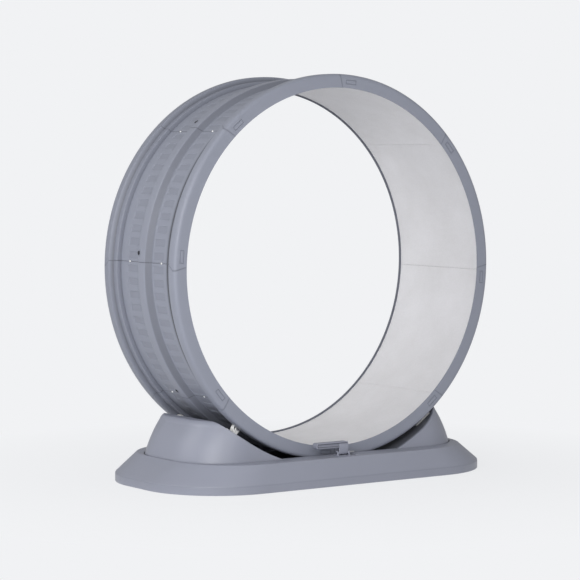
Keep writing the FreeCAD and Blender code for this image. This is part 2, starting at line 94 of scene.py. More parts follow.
# A shell from a grid of points.
def gridShell(grid, *paintedShade, wrap=True):
    grid = np.asarray(grid)
    return (grid, gridQuads(*grid.shape[:2], wrap), *paintedShade)


# A shell is (points in mm, quads) and may add one share per point of painted shade, where shade falls in a
# crease or hollow. Doubles are merged, flat quads dropped and faces turned out.
def makeMesh(name, shells, sharpAngle=38.0):
    points, quads, paintedShades, count = [], [], [], 0
    for shellPoints, shellQuads, *paintedShade in shells:
        flat = np.asarray(shellPoints, float).reshape(-1, 3)
        paintedShades.append(np.asarray(paintedShade[0], float).ravel() if paintedShade else np.zeros(len(flat)))
        points.append(flat * millimetre)
        quads.append(shellQuads + count)
        count += len(flat)
    points, quads = np.concatenate(points), np.concatenate(quads)
    shares = np.concatenate(paintedShades).astype(np.float32)
    mesh = bpy.data.meshes.new(name)
    mesh.vertices.add(len(points))
    mesh.vertices.foreach_set("co", points.astype(np.float32).ravel())
    mesh.loops.add(quads.size)
    mesh.loops.foreach_set("vertex_index", quads.astype(np.int32).ravel())
    mesh.polygons.add(len(quads))
    mesh.polygons.foreach_set("loop_start", np.arange(0, quads.size, 4, dtype=np.int32))
    mesh.update(calc_edges=True)
    # each point's share of painted shade, which the finishes use to darken the colour
    mesh.attributes.new("paintedShade", "FLOAT", "POINT").data.foreach_set("value", shares)
    mesh.validate()
    work = bmesh.new()
    work.from_mesh(mesh)
    bmesh.ops.remove_doubles(work, verts=work.verts, dist=mergeWithin)
    bmesh.ops.dissolve_degenerate(work, edges=work.edges, dist=flatWithin)
    bmesh.ops.recalc_face_normals(work, faces=work.faces)
    work.to_mesh(mesh)
    work.free()
    mesh.polygons.foreach_set("use_smooth", np.ones(len(mesh.polygons), bool))
    mesh.set_sharp_from_angle(angle=math.radians(sharpAngle))
    return mesh


def setMaterial(mesh, material):
    mesh.materials.clear()
    mesh.materials.append(material)


def addPiece(name, mesh, body, material, replaced=()):
    piece = bpy.data.objects.new(name, mesh)
    bpy.context.scene.collection.objects.link(piece)
    setMaterial(mesh, material)
    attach(piece, body)
    if replaced:
        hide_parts(*replaced)
    return piece


# A node group with inputs given as label: start value. It puts out a colour, a roughness and a height.
def newGroup(name, inputs):
    group = bpy.data.node_groups.new(name, "ShaderNodeTree")
    for label, value in inputs.items():
        kind = "NodeSocketColor" if isinstance(value, tuple) else "NodeSocketFloat"
        group.interface.new_socket(name=label, in_out="INPUT", socket_type=kind).default_value = value
    for label, kind in (("Colour", "NodeSocketColor"), ("Roughness", "NodeSocketFloat"),
                        ("Height", "NodeSocketFloat")):
        group.interface.new_socket(name=label, in_out="OUTPUT", socket_type=kind)
    return group, group.nodes.new("NodeGroupInput").outputs, group.nodes.new("NodeGroupOutput").inputs


# Values name the node's own settings or, with _ for a space, its inputs.
def addNode(tree, kind, **values):
    node = tree.nodes.new(kind)
    for key, value in values.items():
        if hasattr(node, key):
            setattr(node, key, value)
        else:
            node.inputs[key.replace("_", " ")].default_value = value
    return node


# A Math node fed by numbers and by other nodes' sockets; returns its result.
def addMath(tree, operation, *fed):
    node = addNode(tree, "ShaderNodeMath", operation=operation)
    for socket, value in zip(node.inputs, fed):
        if isinstance(value, bpy.types.NodeSocket):
            tree.links.new(value, socket)
        else:
            socket.default_value = value
    return node.outputs[0]


# Moulded skin: a cloudy change of colour, shade painted into creases and hollows, faint drag marks in the
# roughness and a fine grain.
skin = {"cloudScale": 6.0, "dragScale": 40.0, "creaseShade": 0.86, "bumpHeight": 0.0004}


def makeMouldedSkin():
    group, given, out = newGroup("mouldedSkin", {
        "Colour": (0.3, 0.3, 0.3, 1.0), "Cloud Amount": 0.04, "Grain Scale": 900.0, "Roughness": 0.5,
        "Roughness Change": 0.08, "Painted Shade": 0.0})
    links = group.links
    place = addNode(group, "ShaderNodeTexCoord").outputs["Object"]
    cloud = addNode(group, "ShaderNodeTexNoise", Scale=skin["cloudScale"], Detail=3.0, Roughness=0.55)
    drag = addNode(group, "ShaderNodeTexNoise", Scale=skin["dragScale"], Detail=4.0, Roughness=0.6)
    grain = addNode(group, "ShaderNodeTexNoise", Detail=2.0, Roughness=0.5)
    for noise in (cloud, drag, grain):
        links.new(place, noise.inputs["Vector"])
    links.new(given["Grain Scale"], grain.inputs["Scale"])
    clouded = addMath(group, "MULTIPLY", addMath(group, "SUBTRACT", cloud.outputs["Fac"], 0.5),
                      given["Cloud Amount"])
    # painted shade: the colour is darkened by the point's share of shade
    paintedShadeFactor = addMath(group, "MULTIPLY_ADD", given["Painted Shade"], -skin["creaseShade"], 1.0)
    shade = addMath(group, "MULTIPLY", addMath(group, "ADD", clouded, 1.0), paintedShadeFactor)
    tint = addNode(group, "ShaderNodeVectorMath", operation="SCALE")
    links.new(given["Colour"], tint.inputs[0])
    links.new(shade, tint.inputs["Scale"])
    links.new(tint.outputs[0], out["Colour"])
    rough = addMath(group, "MULTIPLY_ADD", drag.outputs["Fac"], given["Roughness Change"], given["Roughness"])
    links.new(rough, out["Roughness"])
    links.new(grain.outputs["Fac"], out["Height"])
    return group


# Short pile: tufts from a fine cell pattern over a soft uneven lay, for the running mat.
pile = {"layScale": 9.0, "fibreScale": 260.0, "fibreShare": 0.6, "shadeFrom": 0.5, "shadeTo": 1.05,
        "roughness": 0.88, "roughnessChange": 0.08, "bumpHeight": 0.0006}


def makeShortPile():
    group, given, out = newGroup("shortPile", {
        "Colour": (0.6, 0.6, 0.6, 1.0), "Shade": (0.5, 0.5, 0.5, 1.0), "Tuft Scale": 700.0})
    links = group.links
    place = addNode(group, "ShaderNodeTexCoord").outputs["Object"]
    tufts = addNode(group, "ShaderNodeTexVoronoi")
    lay = addNode(group, "ShaderNodeTexNoise", Scale=pile["layScale"], Detail=5.0, Roughness=0.6)
    fibre = addNode(group, "ShaderNodeTexNoise", Scale=pile["fibreScale"], Detail=3.0, Roughness=0.7)
    for texture in (tufts, lay, fibre):
        links.new(place, texture.inputs["Vector"])
    links.new(given["Tuft Scale"], tufts.inputs["Scale"])
    both = addMath(group, "MULTIPLY_ADD", fibre.outputs["Fac"], pile["fibreShare"], lay.outputs["Fac"])
    share = addNode(group, "ShaderNodeMapRange", From_Min=pile["shadeFrom"], From_Max=pile["shadeTo"])
    links.new(both, share.inputs["Value"])
    mix = addNode(group, "ShaderNodeMix", data_type="RGBA")
    links.new(share.outputs["Result"], mix.inputs[0])
    links.new(given["Shade"], mix.inputs[6])
    links.new(given["Colour"], mix.inputs[7])
    links.new(mix.outputs[2], out["Colour"])
    rough = addMath(group, "MULTIPLY_ADD", fibre.outputs["Fac"], pile["roughnessChange"], pile["roughness"])
    links.new(rough, out["Roughness"])
    height = addMath(group, "SUBTRACT", fibre.outputs["Fac"], tufts.outputs["Distance"])
    links.new(height, out["Height"])
    return group


mouldedSkin = makeMouldedSkin()
shortPile = makeShortPile()


def newMaterial(name, group, values, bumpStrength, bumpHeight, **shaderValues):
    material = bpy.data.materials.new(name)
    material.use_nodes = True
    tree = material.node_tree
    shader = tree.nodes["Principled BSDF"]
    surface = addNode(tree, "ShaderNodeGroup", node_tree=group)
    for key, value in values.items():
        surface.inputs[key].default_value = value
    # the mesh's share of painted shade darkens the colour
    if "Painted Shade" in surface.inputs:
        paintedShade = addNode(tree, "ShaderNodeAttribute", attribute_name="paintedShade")
        tree.links.new(paintedShade.outputs["Fac"], surface.inputs["Painted Shade"])
    tree.links.new(surface.outputs["Colour"], shader.inputs["Base Color"])
    tree.links.new(surface.outputs["Roughness"], shader.inputs["Roughness"])
    bump = addNode(tree, "ShaderNodeBump", Strength=bumpStrength, Distance=bumpHeight)
    tree.links.new(surface.outputs["Height"], bump.inputs["Height"])
    tree.links.new(bump.outputs["Normal"], shader.inputs["Normal"])
    for key, value in shaderValues.items():
        shader.inputs[key.replace("_", " ")].default_value = value
    return material


def skinned(name, colour, cloud=0.05, grain=1100.0, rough=0.42, change=0.10, bump=0.10, metallic=0.0):
    values = {"Colour": (*colour, 1.0), "Cloud Amount": cloud, "Grain Scale": grain, "Roughness": rough,
              "Roughness Change": change}
    return newMaterial(name, mouldedSkin, values, bump, skin["bumpHeight"], Metallic=metallic)


drumPlastic = skinned("drumPlastic", (0.268, 0.284, 0.345))
basePlastic = skinned("basePlastic", (0.288, 0.302, 0.367), rough=0.37)
latchPlastic = skinned("latchPlastic", (0.282, 0.294, 0.362), rough=0.36)
rollerNylon = skinned("rollerNylon", (0.93, 0.93, 0.92), cloud=0.02, rough=0.30)
cradlePlastic = skinned("cradlePlastic", (0.82, 0.82, 0.81), cloud=0.03, rough=0.40)
footRubber = skinned("footRubber", (0.025, 0.025, 0.028), cloud=0.2, grain=700.0, rough=0.72, bump=0.3)
zincSteel = skinned("zincSteel", (0.52, 0.53, 0.55), cloud=0.15, grain=1600.0, rough=0.26, change=0.2,
                    metallic=1.0)
groundSteel = skinned("groundSteel", (0.56, 0.57, 0.59), cloud=0.1, grain=1800.0, rough=0.22, change=0.15,
                      metallic=1.0)
matPile = newMaterial("matPile", shortPile, {"Colour": (0.775, 0.77, 0.795, 1.0),
                                             "Shade": (0.685, 0.68, 0.695, 1.0), "Tuft Scale": 620.0},
                      0.35, pile["bumpHeight"], Sheen_Weight=0.15)
print("finishes made")

drum = {
    "centre": 500.0, "radius": 450.0, "halfWidth": 157.0, "segments": 8, "sweep": 45.0,
    "seamPhase": 2.3,       # channel seams stand this many degrees clockwise of the 45 degree marks
    # half of the outer section as (radius, side) from the rib's middle to the face's inner edge, and its cuts
    "section": ((442, 0), (442, 13), (430, 27), (430, 111), (439, 112), (439, 128), (450, 133), (450, 157),
                (418, 157)),
    "cuts": (2.2, 2.0, 0.5, 0.8, 1.0, 1.6, 9.0),
    "deck": 430.0, "deckInside": 427.0, "faceInner": 418.0,
    "lipInside": 154.0, "lipLean": 5.0, "lipTaper": 0.2,
    "flatSide": 147.0, "faceSide": 150.0, "faceTop": 441.5,     # where the flat part ends and the face starts
    # degrees that the seam is further round at the rim and at the inner edge, and over what sides and lengths
    "seamGap": 0.4, "seamShift": 1.8, "seamShiftInner": 0.7, "seamTurn": (129.0, 149.0), "seamFaceTop": 447.0,
    "seamSlant": 40.0, "seamReturn": 3.0,
    "padCount": 11, "padLength": 17.0, "padNear": 34.0, "padFar": 78.0, "padDepth": 0.8, "padEndSlope": 0.8,
    "padSideSlope": 1.0,
    "notchSide": 69.0, "notchRadius": 3.0, "notchReach": 8.0,
    "windowAt": 18.0, "windowLength": 30.0, "windowHeight": 11.0, "windowMiddle": 432.0, "grooveWidth": 2.0,
    "grooveDepth": 1.0, "grooveSlope": 0.35,
    # rings of the screw's well as (radius, height or None for the rib's own, painted shade, darkest down the
    # bore)
    "screwAt": 20.3, "screwSide": 13.0, "bossRoom": 8.5,
    "wellRings": ((7.2, None, 0.3), (6.4, 441.6, 0.0), (6.0, 442.0, 0.0), (4.8, 442.0, 0.4),
                  (4.5, 441.6, 0.95), (4.5, 433.0, 1.0), (0.01, 433.0, 1.0)),
    # extra grid lines across the section and round the rim
    "sideLines": (15.0, 17.0, 25.0, 28.0, 30.0, 45.0, 56.0, 86.0, 88.5, 92.0, 94.5, 97.0, 100.0, 103.0, 106.0,
                  108.5),
    "notchLines": 11, "wellLines": 9, "lineStep": 9.0, "leastStep": 0.12,
    "endLines": (0.0, 0.7, 1.6, 3.5, 6.0),
}
# Painted shade on the drum where its flange edges, channel edges, rib slopes, window groove, seams, rear rim
# and the front channel beside the flange lie in shade; the pads are made a little darker too. How deep: soft
# lines as (side, width, share), slopes as (from, to) and shares.
drumPaintedShade = {
    "flangeLine": (128.6, 1.6, 0.55), "flangeBelow": 449.0, "channelLine": (110.0, 1.6, 0.5),
    "frontSlope": (86.0, 97.0), "frontSlopeEnd": 111.5, "frontSlopeShare": 0.92,
    "ribSlopeStart": (13.0, 15.5), "ribSlopeEnd": (25.0, 31.0), "ribSlopeShare": 0.42,
    "rearRim": (129.0, 134.0), "rearRimShare": 0.10, "padShare": 0.10, "grooveShare": 0.26,
    "seamWidth": 0.7, "seamShare": 0.85, "seamRimShare": 0.4, "seamRimFrom": 129.0,
    "hiddenFrom": 153.0, "hiddenBelow": 424.0, "hiddenShare": 0.6,
}


def drumPoint(radius, angle, side):
    radius, turn, side = np.broadcast_arrays(radius, np.radians(angle), side)
    return np.stack([radius * np.cos(turn), side, drum["centre"] + radius * np.sin(turn)], -1)


# Puts extra lines in and takes out old ones nearer to a neighbour than the least step.
def addLines(lines, extra, least):
    lines = np.unique(np.concatenate([lines, extra]))
    wanted = np.isin(lines, extra)
    near = np.diff(lines) < least
    drop = np.zeros(len(lines), bool)
    drop[1:] |= near & ~wanted[1:]
    drop[:-1] |= near & ~wanted[:-1]
    return lines[~drop]


# Lines at both edges of the window's groove and where its slopes end, either side of its middle.
def grooveLines(half):
    width, slope = drum["grooveWidth"], drum["grooveSlope"]
    lines = np.array([half, half - slope, half - width + slope, half - width])
    return np.concatenate([lines, -lines])


def wellLines(middle):
    return middle + np.linspace(-drum["bossRoom"], drum["bossRoom"], drum["wellLines"])


# The outer section from one inner edge over the drum to the other, as radius and side at each grid line. A
# line is a distance along it.
def drumSection():
    half = roundedPath(drum["section"], drum["cuts"])
    whole = np.concatenate([half[::-1] * (1, -1), half[1:]])
    along = np.concatenate([[0.0], np.cumsum(np.linalg.norm(np.diff(whole, axis=0), axis=1))])
    radius, side = whole[:, 0], whole[:, 1]
    near, far, slope = drum["padNear"], drum["padFar"], drum["padSideSlope"]
    notch = drum["notchSide"] + drum["notchRadius"] * np.cos(np.linspace(0, math.pi, drum["notchLines"]))
    sides = np.concatenate([notch, (near, near + slope, far, far - slope), drum["sideLines"]])
    sides = np.concatenate([sides, -sides, wellLines(drum["screwSide"])])
    flat = np.abs(side) < drum["flatSide"]
    extra = [np.interp(sides, side[flat], along[flat])]
    levels = drum["windowMiddle"] + grooveLines(drum["windowHeight"] / 2)
    for sign in (1, -1):
        face = (side * sign > drum["faceSide"]) & (radius < drum["faceTop"])
        order = np.argsort(radius[face])
        extra.append(np.interp(levels, radius[face][order], along[face][order]))
    lines = addLines(along, np.concatenate(extra), drum["leastStep"])
    return np.interp(lines, along, radius), np.interp(lines, along, side)


# Lines round the rim, in mm at the deck from the segment's start.
def drumLines(length):
    middles = (np.arange(drum["padCount"]) + 0.5) * length / drum["padCount"]
    half, slope = drum["padLength"] / 2, drum["padEndSlope"]
    pads = (middles[:, None] + np.array([-half, -half + slope, 0.0, half - slope, half])).ravel()
    windows = length - drum["windowAt"] + grooveLines(drum["windowLength"] / 2)
    ends = np.array(drum["endLines"])
    extra = np.concatenate([pads, windows, wellLines(length - drum["screwAt"]), ends, length - ends])
    return addLines(np.arange(0.0, length, drum["lineStep"]), extra, drum["leastStep"])


# How far into a band of this half size a place is, 1 inside and 0 past its edge.
def bandShare(offset, half, slope):
    return np.clip((half - np.abs(offset)) / slope, 0.0, 1.0)


def windowShare(rimOffset, depthOffset, inset):
    slope = drum["grooveSlope"]
    return (bandShare(rimOffset, drum["windowLength"] / 2 - inset, slope)
            * bandShare(depthOffset, drum["windowHeight"] / 2 - inset, slope))


# Degrees from the segment's seam mark: half the gap, then the place's share of the sweep less the gap.
def deckAngle(place, length):
    gap = math.degrees(drum["seamGap"] / drum["deck"])
    return gap / 2 + place / length * (drum["sweep"] - gap)


# The screw's well takes the place of a small rectangle of the outer grid: rings about the screw lead from the
# rectangle's edge to the well's floor. Returns the quads that stay and the well.
def screwWell(outer, quads, rim, radius, side, length):
    wellRim, room = length - drum["screwAt"], drum["bossRoom"]
    i0, i1 = (int(np.argmin(np.abs(rim - (wellRim + sign * room)))) for sign in (-1, 1))
    j0, j1 = np.flatnonzero(np.abs(side - drum["screwSide"]) < room + hair)[[0, -1]]
    row, col = quads[:, 0] // len(side), quads[:, 0] % len(side)
    kept = quads[~((row >= i0) & (row < i1) & (col >= j0) & (col < j1))]
    down, over = np.arange(i0, i1), np.arange(j0, j1)
    loop = np.concatenate([np.stack(np.broadcast_arrays(i, j), -1) for i, j in
                           ((down, j0), (i1, over), (down[::-1] + 1, j1), (i0, over[::-1] + 1))])
    offset = np.stack([rim[loop[:, 0]] - wellRim, side[loop[:, 1]] - drum["screwSide"]], -1)
    away = offset / np.linalg.norm(offset, axis=1, keepdims=True)
    flat = np.abs(side) < drum["flatSide"]
    rings, shares = [outer[loop[:, 0], loop[:, 1]]], [0.0]
    for ringRadius, level, share in drum["wellRings"]:
        place = away * ringRadius
        across = drum["screwSide"] + place[:, 1]
        height = np.interp(across, side[flat], radius[flat]) if level is None else level
        rings.append(drumPoint(height, deckAngle(wellRim + place[:, 0], length), across))
        shares.append(share)
    return kept, gridShell(rings, np.array(shares)[:, None] * np.ones(len(loop)))


# Shares of painted shade over the outer grid: soft lines and slopes by the distance from the drum's middle
# plane.
def drumPaintedShades(side, radiusHere, padShare, groove, fromSeam):
    apart, c = np.abs(side), drumPaintedShade
    paintedShade = softLine(apart, c["flangeLine"]) * (radiusHere < c["flangeBelow"])
    paintedShade = paintedShade + softLine(apart, c["channelLine"])
    front = (side < 0) & (apart < c["frontSlopeEnd"])
    paintedShade = paintedShade + c["frontSlopeShare"] * smoothStep(apart, *c["frontSlope"]) * front
    rib = smoothStep(apart, *c["ribSlopeStart"]) * (1 - smoothStep(apart, *c["ribSlopeEnd"]))
    paintedShade = paintedShade + c["ribSlopeShare"] * rib + c["rearRimShare"] * smoothStep(side, *c["rearRim"])
    paintedShade = paintedShade + c["padShare"] * padShare + c["grooveShare"] * groove
    seam = np.clip(1.0 - fromSeam / c["seamWidth"], 0, 1)
    seam = seam * np.where(apart > c["seamRimFrom"], c["seamRimShare"], c["seamShare"])
    return np.clip(np.maximum(paintedShade, seam), 0, 1)


# The segment's outer and inner skins on one grid of (round the rim, across the section). The outer radius is
# lowered by each pad, the face is sunk by the window's groove, and the angle is moved near the seam ends by
# the slanted seam and by the half round notches.
def segmentShells():
    perMillimetre = math.degrees(1.0 / drum["deck"])
    length = drum["sweep"] / perMillimetre
    radius, side = drumSection()
    rim = drumLines(length)
    apart = np.abs(side)
    place = np.broadcast_to(rim[:, None], (len(rim), len(side)))
    fromEnd = length - place
    pitch = length / drum["padCount"]
    padMiddle, padHalf = (drum["padNear"] + drum["padFar"]) / 2, (drum["padFar"] - drum["padNear"]) / 2
    padShare = (bandShare(place % pitch - pitch / 2, drum["padLength"] / 2, drum["padEndSlope"])
                * bandShare(apart - padMiddle, padHalf, drum["padSideSlope"]))
    radiusHere = radius - drum["padDepth"] * padShare
    window = (place - (length - drum["windowAt"]), radiusHere - drum["windowMiddle"])
    groove = windowShare(*window, 0.0) - windowShare(*window, drum["grooveWidth"] - drum["grooveSlope"])
    groove = groove * (apart > drum["halfWidth"] - hair)
    sideHere = side - np.sign(side) * drum["grooveDepth"] * groove
    # the seam's slant and its notches
    onFace = np.clip((drum["seamFaceTop"] - radius) / (drum["seamFaceTop"] - drum["faceInner"]), 0, 1)
    onFace = onFace * (apart > drum["faceSide"])
    shift = drum["seamShift"] * smoothStep(apart, *drum["seamTurn"])
    shift = shift + (drum["seamShiftInner"] - drum["seamShift"]) * onFace
    slant = 1 - smoothStep(place, 0, drum["seamSlant"]) + np.clip(1 - fromEnd / drum["seamReturn"], 0, 1)
    notch = np.sqrt(np.maximum(0.0, drum["notchRadius"] ** 2 - (apart - drum["notchSide"]) ** 2))
    reach = drum["notchReach"]
    notched = np.clip(1 - place / reach, 0, 1) - np.clip(1 - fromEnd / reach, 0, 1)
    turn = deckAngle(place, length) + shift * slant + notch * perMillimetre * notched
    outer = drumPoint(radiusHere, turn, sideHere)
    # the inner skin: the deck's inside and, under each rim, a wall that leans with the height
    inward = drum["deckInside"]
    climb = np.clip((radius - inward) / (drum["radius"] - inward), 0, 1)
    lean = drum["lipInside"] - drum["lipLean"] * climb - drum["lipTaper"] * (drum["halfWidth"] - apart)
    steep = (apart > drum["flatSide"]) & (radius > inward)
    innerSide = np.where(steep, np.sign(side) * lean, np.clip(side, -drum["lipInside"], drum["lipInside"]))
    inside = drumPoint(np.minimum(radius, inward), turn, innerSide)
    quads = gridQuads(*turn.shape)
    # painted shade over the outer skin
    paintedShade = drumPaintedShades(side, radiusHere, padShare, groove, np.minimum(place, fromEnd))
    outerQuads, well = screwWell(outer, quads, rim, radius, side, length)
    # painted shade along the rear face's inner edge, on the inner skin and the outer grid's last column
    onRear = (side > drumPaintedShade["hiddenFrom"]) & (radius < drumPaintedShade["hiddenBelow"])
    innerPaintedShade = np.where(onRear, drumPaintedShade["hiddenShare"], 0.0) * np.ones_like(paintedShade)
    paintedShade[:, -1] = innerPaintedShade[:, -1]
    strips = [gridShell([outer[edge], inside[edge]], np.array([paintedShade[edge], innerPaintedShade[edge]]), wrap=False)
              for edge in (np.s_[0], np.s_[-1], np.s_[:, 0], np.s_[:, -1])]
    return [(outer, outerQuads, paintedShade), (inside, quads, innerPaintedShade), well, *strips]


def turnedCopy(mesh, name, angle):
    copy = mesh.copy()
    copy.name = name
    lift = Matrix.Translation((0, 0, drum["centre"] * millimetre))
    copy.transform(lift @ Matrix.Rotation(-math.radians(angle), 4, "Y") @ lift.inverted())
    return copy


seamAngles = [drum["sweep"] * index - drum["seamPhase"] for index in range(drum["segments"])]
segmentMesh = makeMesh("drumSegment", segmentShells())
for number, angle in enumerate(seamAngles, 1):
    name = "drumSegment%d" % number
    addPiece(name, turnedCopy(segmentMesh, name, angle), "wheel", drumPlastic,
             ["wheel_segment_%d" % number])
bpy.data.meshes.remove(segmentMesh)


# A small domed stud closes each seam notch: a profile turned about a line that points away from the axis.
stud = {"radius": 2.5, "low": 427.6, "high": 431.4, "crown": 1.2, "tip": 0.02, "rows": 5, "around": 16}


def studShell(angle, side):
    bend, turn = quarterTurn(stud["rows"])[1:-1], fullTurn(stud["around"])[:, None]
    radius, tip, crown, shoulder = stud["radius"], stud["tip"], stud["crown"], stud["high"] - stud["crown"]
    out = np.array([tip, radius, *(radius * np.cos(bend)), tip])
    height = np.array([stud["low"], shoulder, *(shoulder + crown * np.sin(bend)), stud["high"]])
    away = np.array([math.cos(angle), 0.0, math.sin(angle)])
    sideways = np.array([-math.sin(angle), 0.0, math.cos(angle)])
    ring = np.cos(turn) * sideways + np.sin(turn) * np.array([0.0, 1.0, 0.0])
    return gridShell(height[:, None, None] * away + out[:, None, None] * ring + (0.0, side, drum["centre"]))


studs = [studShell(math.radians(angle), side) for angle in seamAngles
         for side in (-drum["notchSide"], drum["notchSide"])]
addPiece("seamStuds", makeMesh("seamStuds", studs), "wheel", rollerNylon)
print("drum segments made")

mat = {
    "inside": 421.6, "outside": 426.6, "side": 153.4, "round": 1.9, "backRound": 0.6, "endRound": 0.7,
    "gap": 0.35, "lines": 60, "endLines": 5, "sideLines": 44, "sharpAngle": 60.0, "fill": 0.95,
    # height of the pile's waves, and each as (radians per degree round, radians per mm across, start)
    "pile": 0.12, "waves": ((2.9, 0.045, 0.0), (1.3, -0.083, 1.7)),
}


# A mat's cross-section is a flat bar with rounded long edges, carried along the arc of its segment. Towards
# each end the bar thins by a quarter circle, and the walked side rises and falls by slow waves like pile.
def matShell(startAngle):
    inside, outside, half, corner = mat["inside"], mat["outside"], mat["side"], mat["round"]
    box = [(outside, 0), (outside, half), (inside, half), (inside, -half), (outside, -half), (outside, 0)]
    ring = roundedPath(box, (mat["backRound"], corner, corner, mat["backRound"]))
    walked = np.flatnonzero((ring[:, 0] < inside + hair) & (np.abs(ring[:, 1]) > half - corner - hair))
    first, last = walked[[0, -1]]
    across = np.linspace(ring[first, 1], ring[last, 1], mat["sideLines"])[1:-1]
    walkedLines = np.stack([np.full(len(across), inside), across], -1)
    ring = np.concatenate([ring[:first + 1], walkedLines, ring[last:-1]])
    radius, side = ring[:, 0], ring[:, 1]
    gap, edge = math.degrees(mat["gap"] / inside), math.degrees(mat["endRound"] / inside)
    span = drum["sweep"] - gap
    ends = edge * (1 - np.cos(quarterTurn(mat["endLines"])))
    turn = np.concatenate([ends, np.linspace(edge, span - edge, mat["lines"]), span - ends])
    turn = np.unique(np.round(turn, 9))[:, None]
    fromEnd = np.minimum(np.minimum(turn, span - turn) / edge, 1)
    shrink = mat["endRound"] * (1 - np.sqrt(np.maximum(0.0, 1 - (1 - fromEnd) ** 2)))
    middle, halfThick = (inside + outside) / 2, (outside - inside) / 2
    scale = (halfThick - shrink) / halfThick
    angle = startAngle + gap / 2 + turn
    wave = sum(np.sin(angle * byAngle + side * bySide + start) for byAngle, bySide, start in mat["waves"])
    wave = mat["pile"] * wave * np.clip(scale * 2 - 1, 0, 1) * (radius < inside + hair)
    grid = drumPoint(middle + (radius - middle) * scale + wave, angle, side)
    # each end is closed onto the line halfway between its ring and the ring's mirror image
    return [gridShell(grid), *(gridShell([end, (end + np.roll(end[::-1], 1, axis=0)) / 2])
                               for end in (grid[0], grid[-1]))]


for number, angle in enumerate(seamAngles, 1):
    name = "walkingMat%d" % number
    piece = addPiece(name, makeMesh(name, matShell(angle), mat["sharpAngle"]), "wheel", matPile,
                     ["running_mat_%d" % number])
print("mats made")

base = {
    # outlines as (half length, half depth, corner radius), with the heights between them
    "lip": (455.0, 237.0, 190.0), "lipLow": 0.5, "lipTop": 20.0, "lipThick": 3.0, "lipReturn": 9.0,
    "ledge": (392.0, 219.0, 156.0), "ledgeTop": 64.0, "humpLow": 52.0, "humpTop": 155.0, "topRound": 12.0,
    "skirtCuts": (0.8, 1.2, 3.0, 3.4), "skirtSteps": 7, "skirtRows": 8,
    # the hump as (share of its height, half length, half depth, corner)
    "hump": ((0.0, 389.0, 173.0, 130.0), (0.5, 374.0, 161.0, 124.0), (0.8, 356.0, 156.0, 118.0),
             (1.0, 340.0, 151.0, 110.0)),
    "trough": 467.0, "troughCentre": 500.0, "pitHalf": 161.0, "edgeRound": 1.6, "edgeSteps": 6,
    "edgeInset": 0.85,      # of the edge's round, where the trough's grid starts under it
    # the line pressed in round the hump's foot, as (distance from the foot, depth, painted shade)
    "groove": ((4.0, 0.0, 0.0), (3.3, 0.15, 0.0), (2.8, 0.8, 0.25), (2.4, 2.0, 0.65), (1.0, 2.3, 0.85),
               (0.4, 2.0, 0.85), (0.05, 1.0, 0.5)),
    "grooveFade": (158.0, 186.0),
    # painted shade: a soft dark line just under the lip's top as (height, width, share), and the trough
    # darkened except at its edges
    "lipPaintedShade": (18.5, 1.5, 0.16), "troughShade": 0.78, "troughShadeFrom": 0.95, "sharpAngle": 30.0,
    "frontColumns": 72, "cornerColumns": 44, "endColumns": 7, "sideRows": 44, "splitGap": 0.003,
    "leastShare": 0.002, "troughRows": 61, "troughColumns": 33,
    # rows of the fine path that each column of the hump is cut from: side, bend and the top inwards
    "sidePath": 70, "bendPath": 26, "topPath": (1.0, 40.0, 30),
}


# The hump's outline at a height, from the cubic through its four sections.
def humpSize(height):
    sections = np.array(base["hump"])
    share = (height - base["humpLow"]) / (base["humpTop"] - base["humpLow"])
    return np.stack([np.polyval(np.polyfit(sections[:, 0], sections[:, k], 3), share) for k in (1, 2, 3)], -1)


# Every outline is a rounded rectangle with half length, half depth and corner radius. One column keeps its
# share of the straight side or its angle in the corner at every height: signed shares of the straight parts
# in x and y, then the corner's direction in x and y. The outline's other half is the first half turned round.
def outlineShares():
    length, _, corner = humpSize(base["ledgeTop"])
    meets = math.sqrt(base["trough"] ** 2 - (base["troughCentre"] - base["ledgeTop"]) ** 2)
    split = meets / (length - corner)
    wanted = np.array([split, split + base["splitGap"], 1.0])
    front = addLines(np.linspace(-1, 1, base["frontColumns"]), np.concatenate([-wanted, wanted]),
                     base["leastShare"])
    end = np.linspace(-1, 1, base["endColumns"])
    arc = quarterTurn(base["cornerColumns"])[1:-1]
    half = [np.stack(np.broadcast_arrays(*part), -1) for part in (
        (front, -1.0, 0.0, -1.0), (1.0, -1.0, np.sin(arc), -np.cos(arc)), (1.0, end, 1.0, 0.0),
        (1.0, 1.0, np.cos(arc), np.sin(arc)))]
    half = np.concatenate(half)
    return np.concatenate([half, -half])


# Levels are rows of (half length, half depth, corner radius, height).
def outlinePoints(levels, shares):
    levels = np.asarray(levels, float)
    corner = levels[:, None, 2:3]
    flat = (levels[:, None, :2] - corner) * shares[None, :, :2] + corner * shares[None, :, 2:]
    height = np.broadcast_to(levels[:, 3:4, None], (*flat.shape[:2], 1))
    return np.concatenate([flat, height], -1)


# From the lip's inner return over lip and skirt to the ledge and the pressed line.
def skirtLevels():
    lip, ledge, foot = np.array(base["lip"]), np.array(base["ledge"]), humpSize(base["ledgeTop"])
    inner, low, top = lip - base["lipThick"], base["lipLow"], base["ledgeTop"]
    path = [(*inner, low + base["lipReturn"]), (*inner, low), (*lip, low), (*lip, base["lipTop"]),
            (*ledge, top), (*(foot + base["groove"][0][0]), top)]
    levels = roundedPath(path, base["skirtCuts"], base["skirtSteps"])
    ledgeAt = len(levels) - base["skirtSteps"] - 1
    skirt = np.linspace(levels[ledgeAt - 1], levels[ledgeAt], base["skirtRows"])[1:-1]
    return np.concatenate([levels[:ledgeAt], skirt, levels[ledgeAt:]])


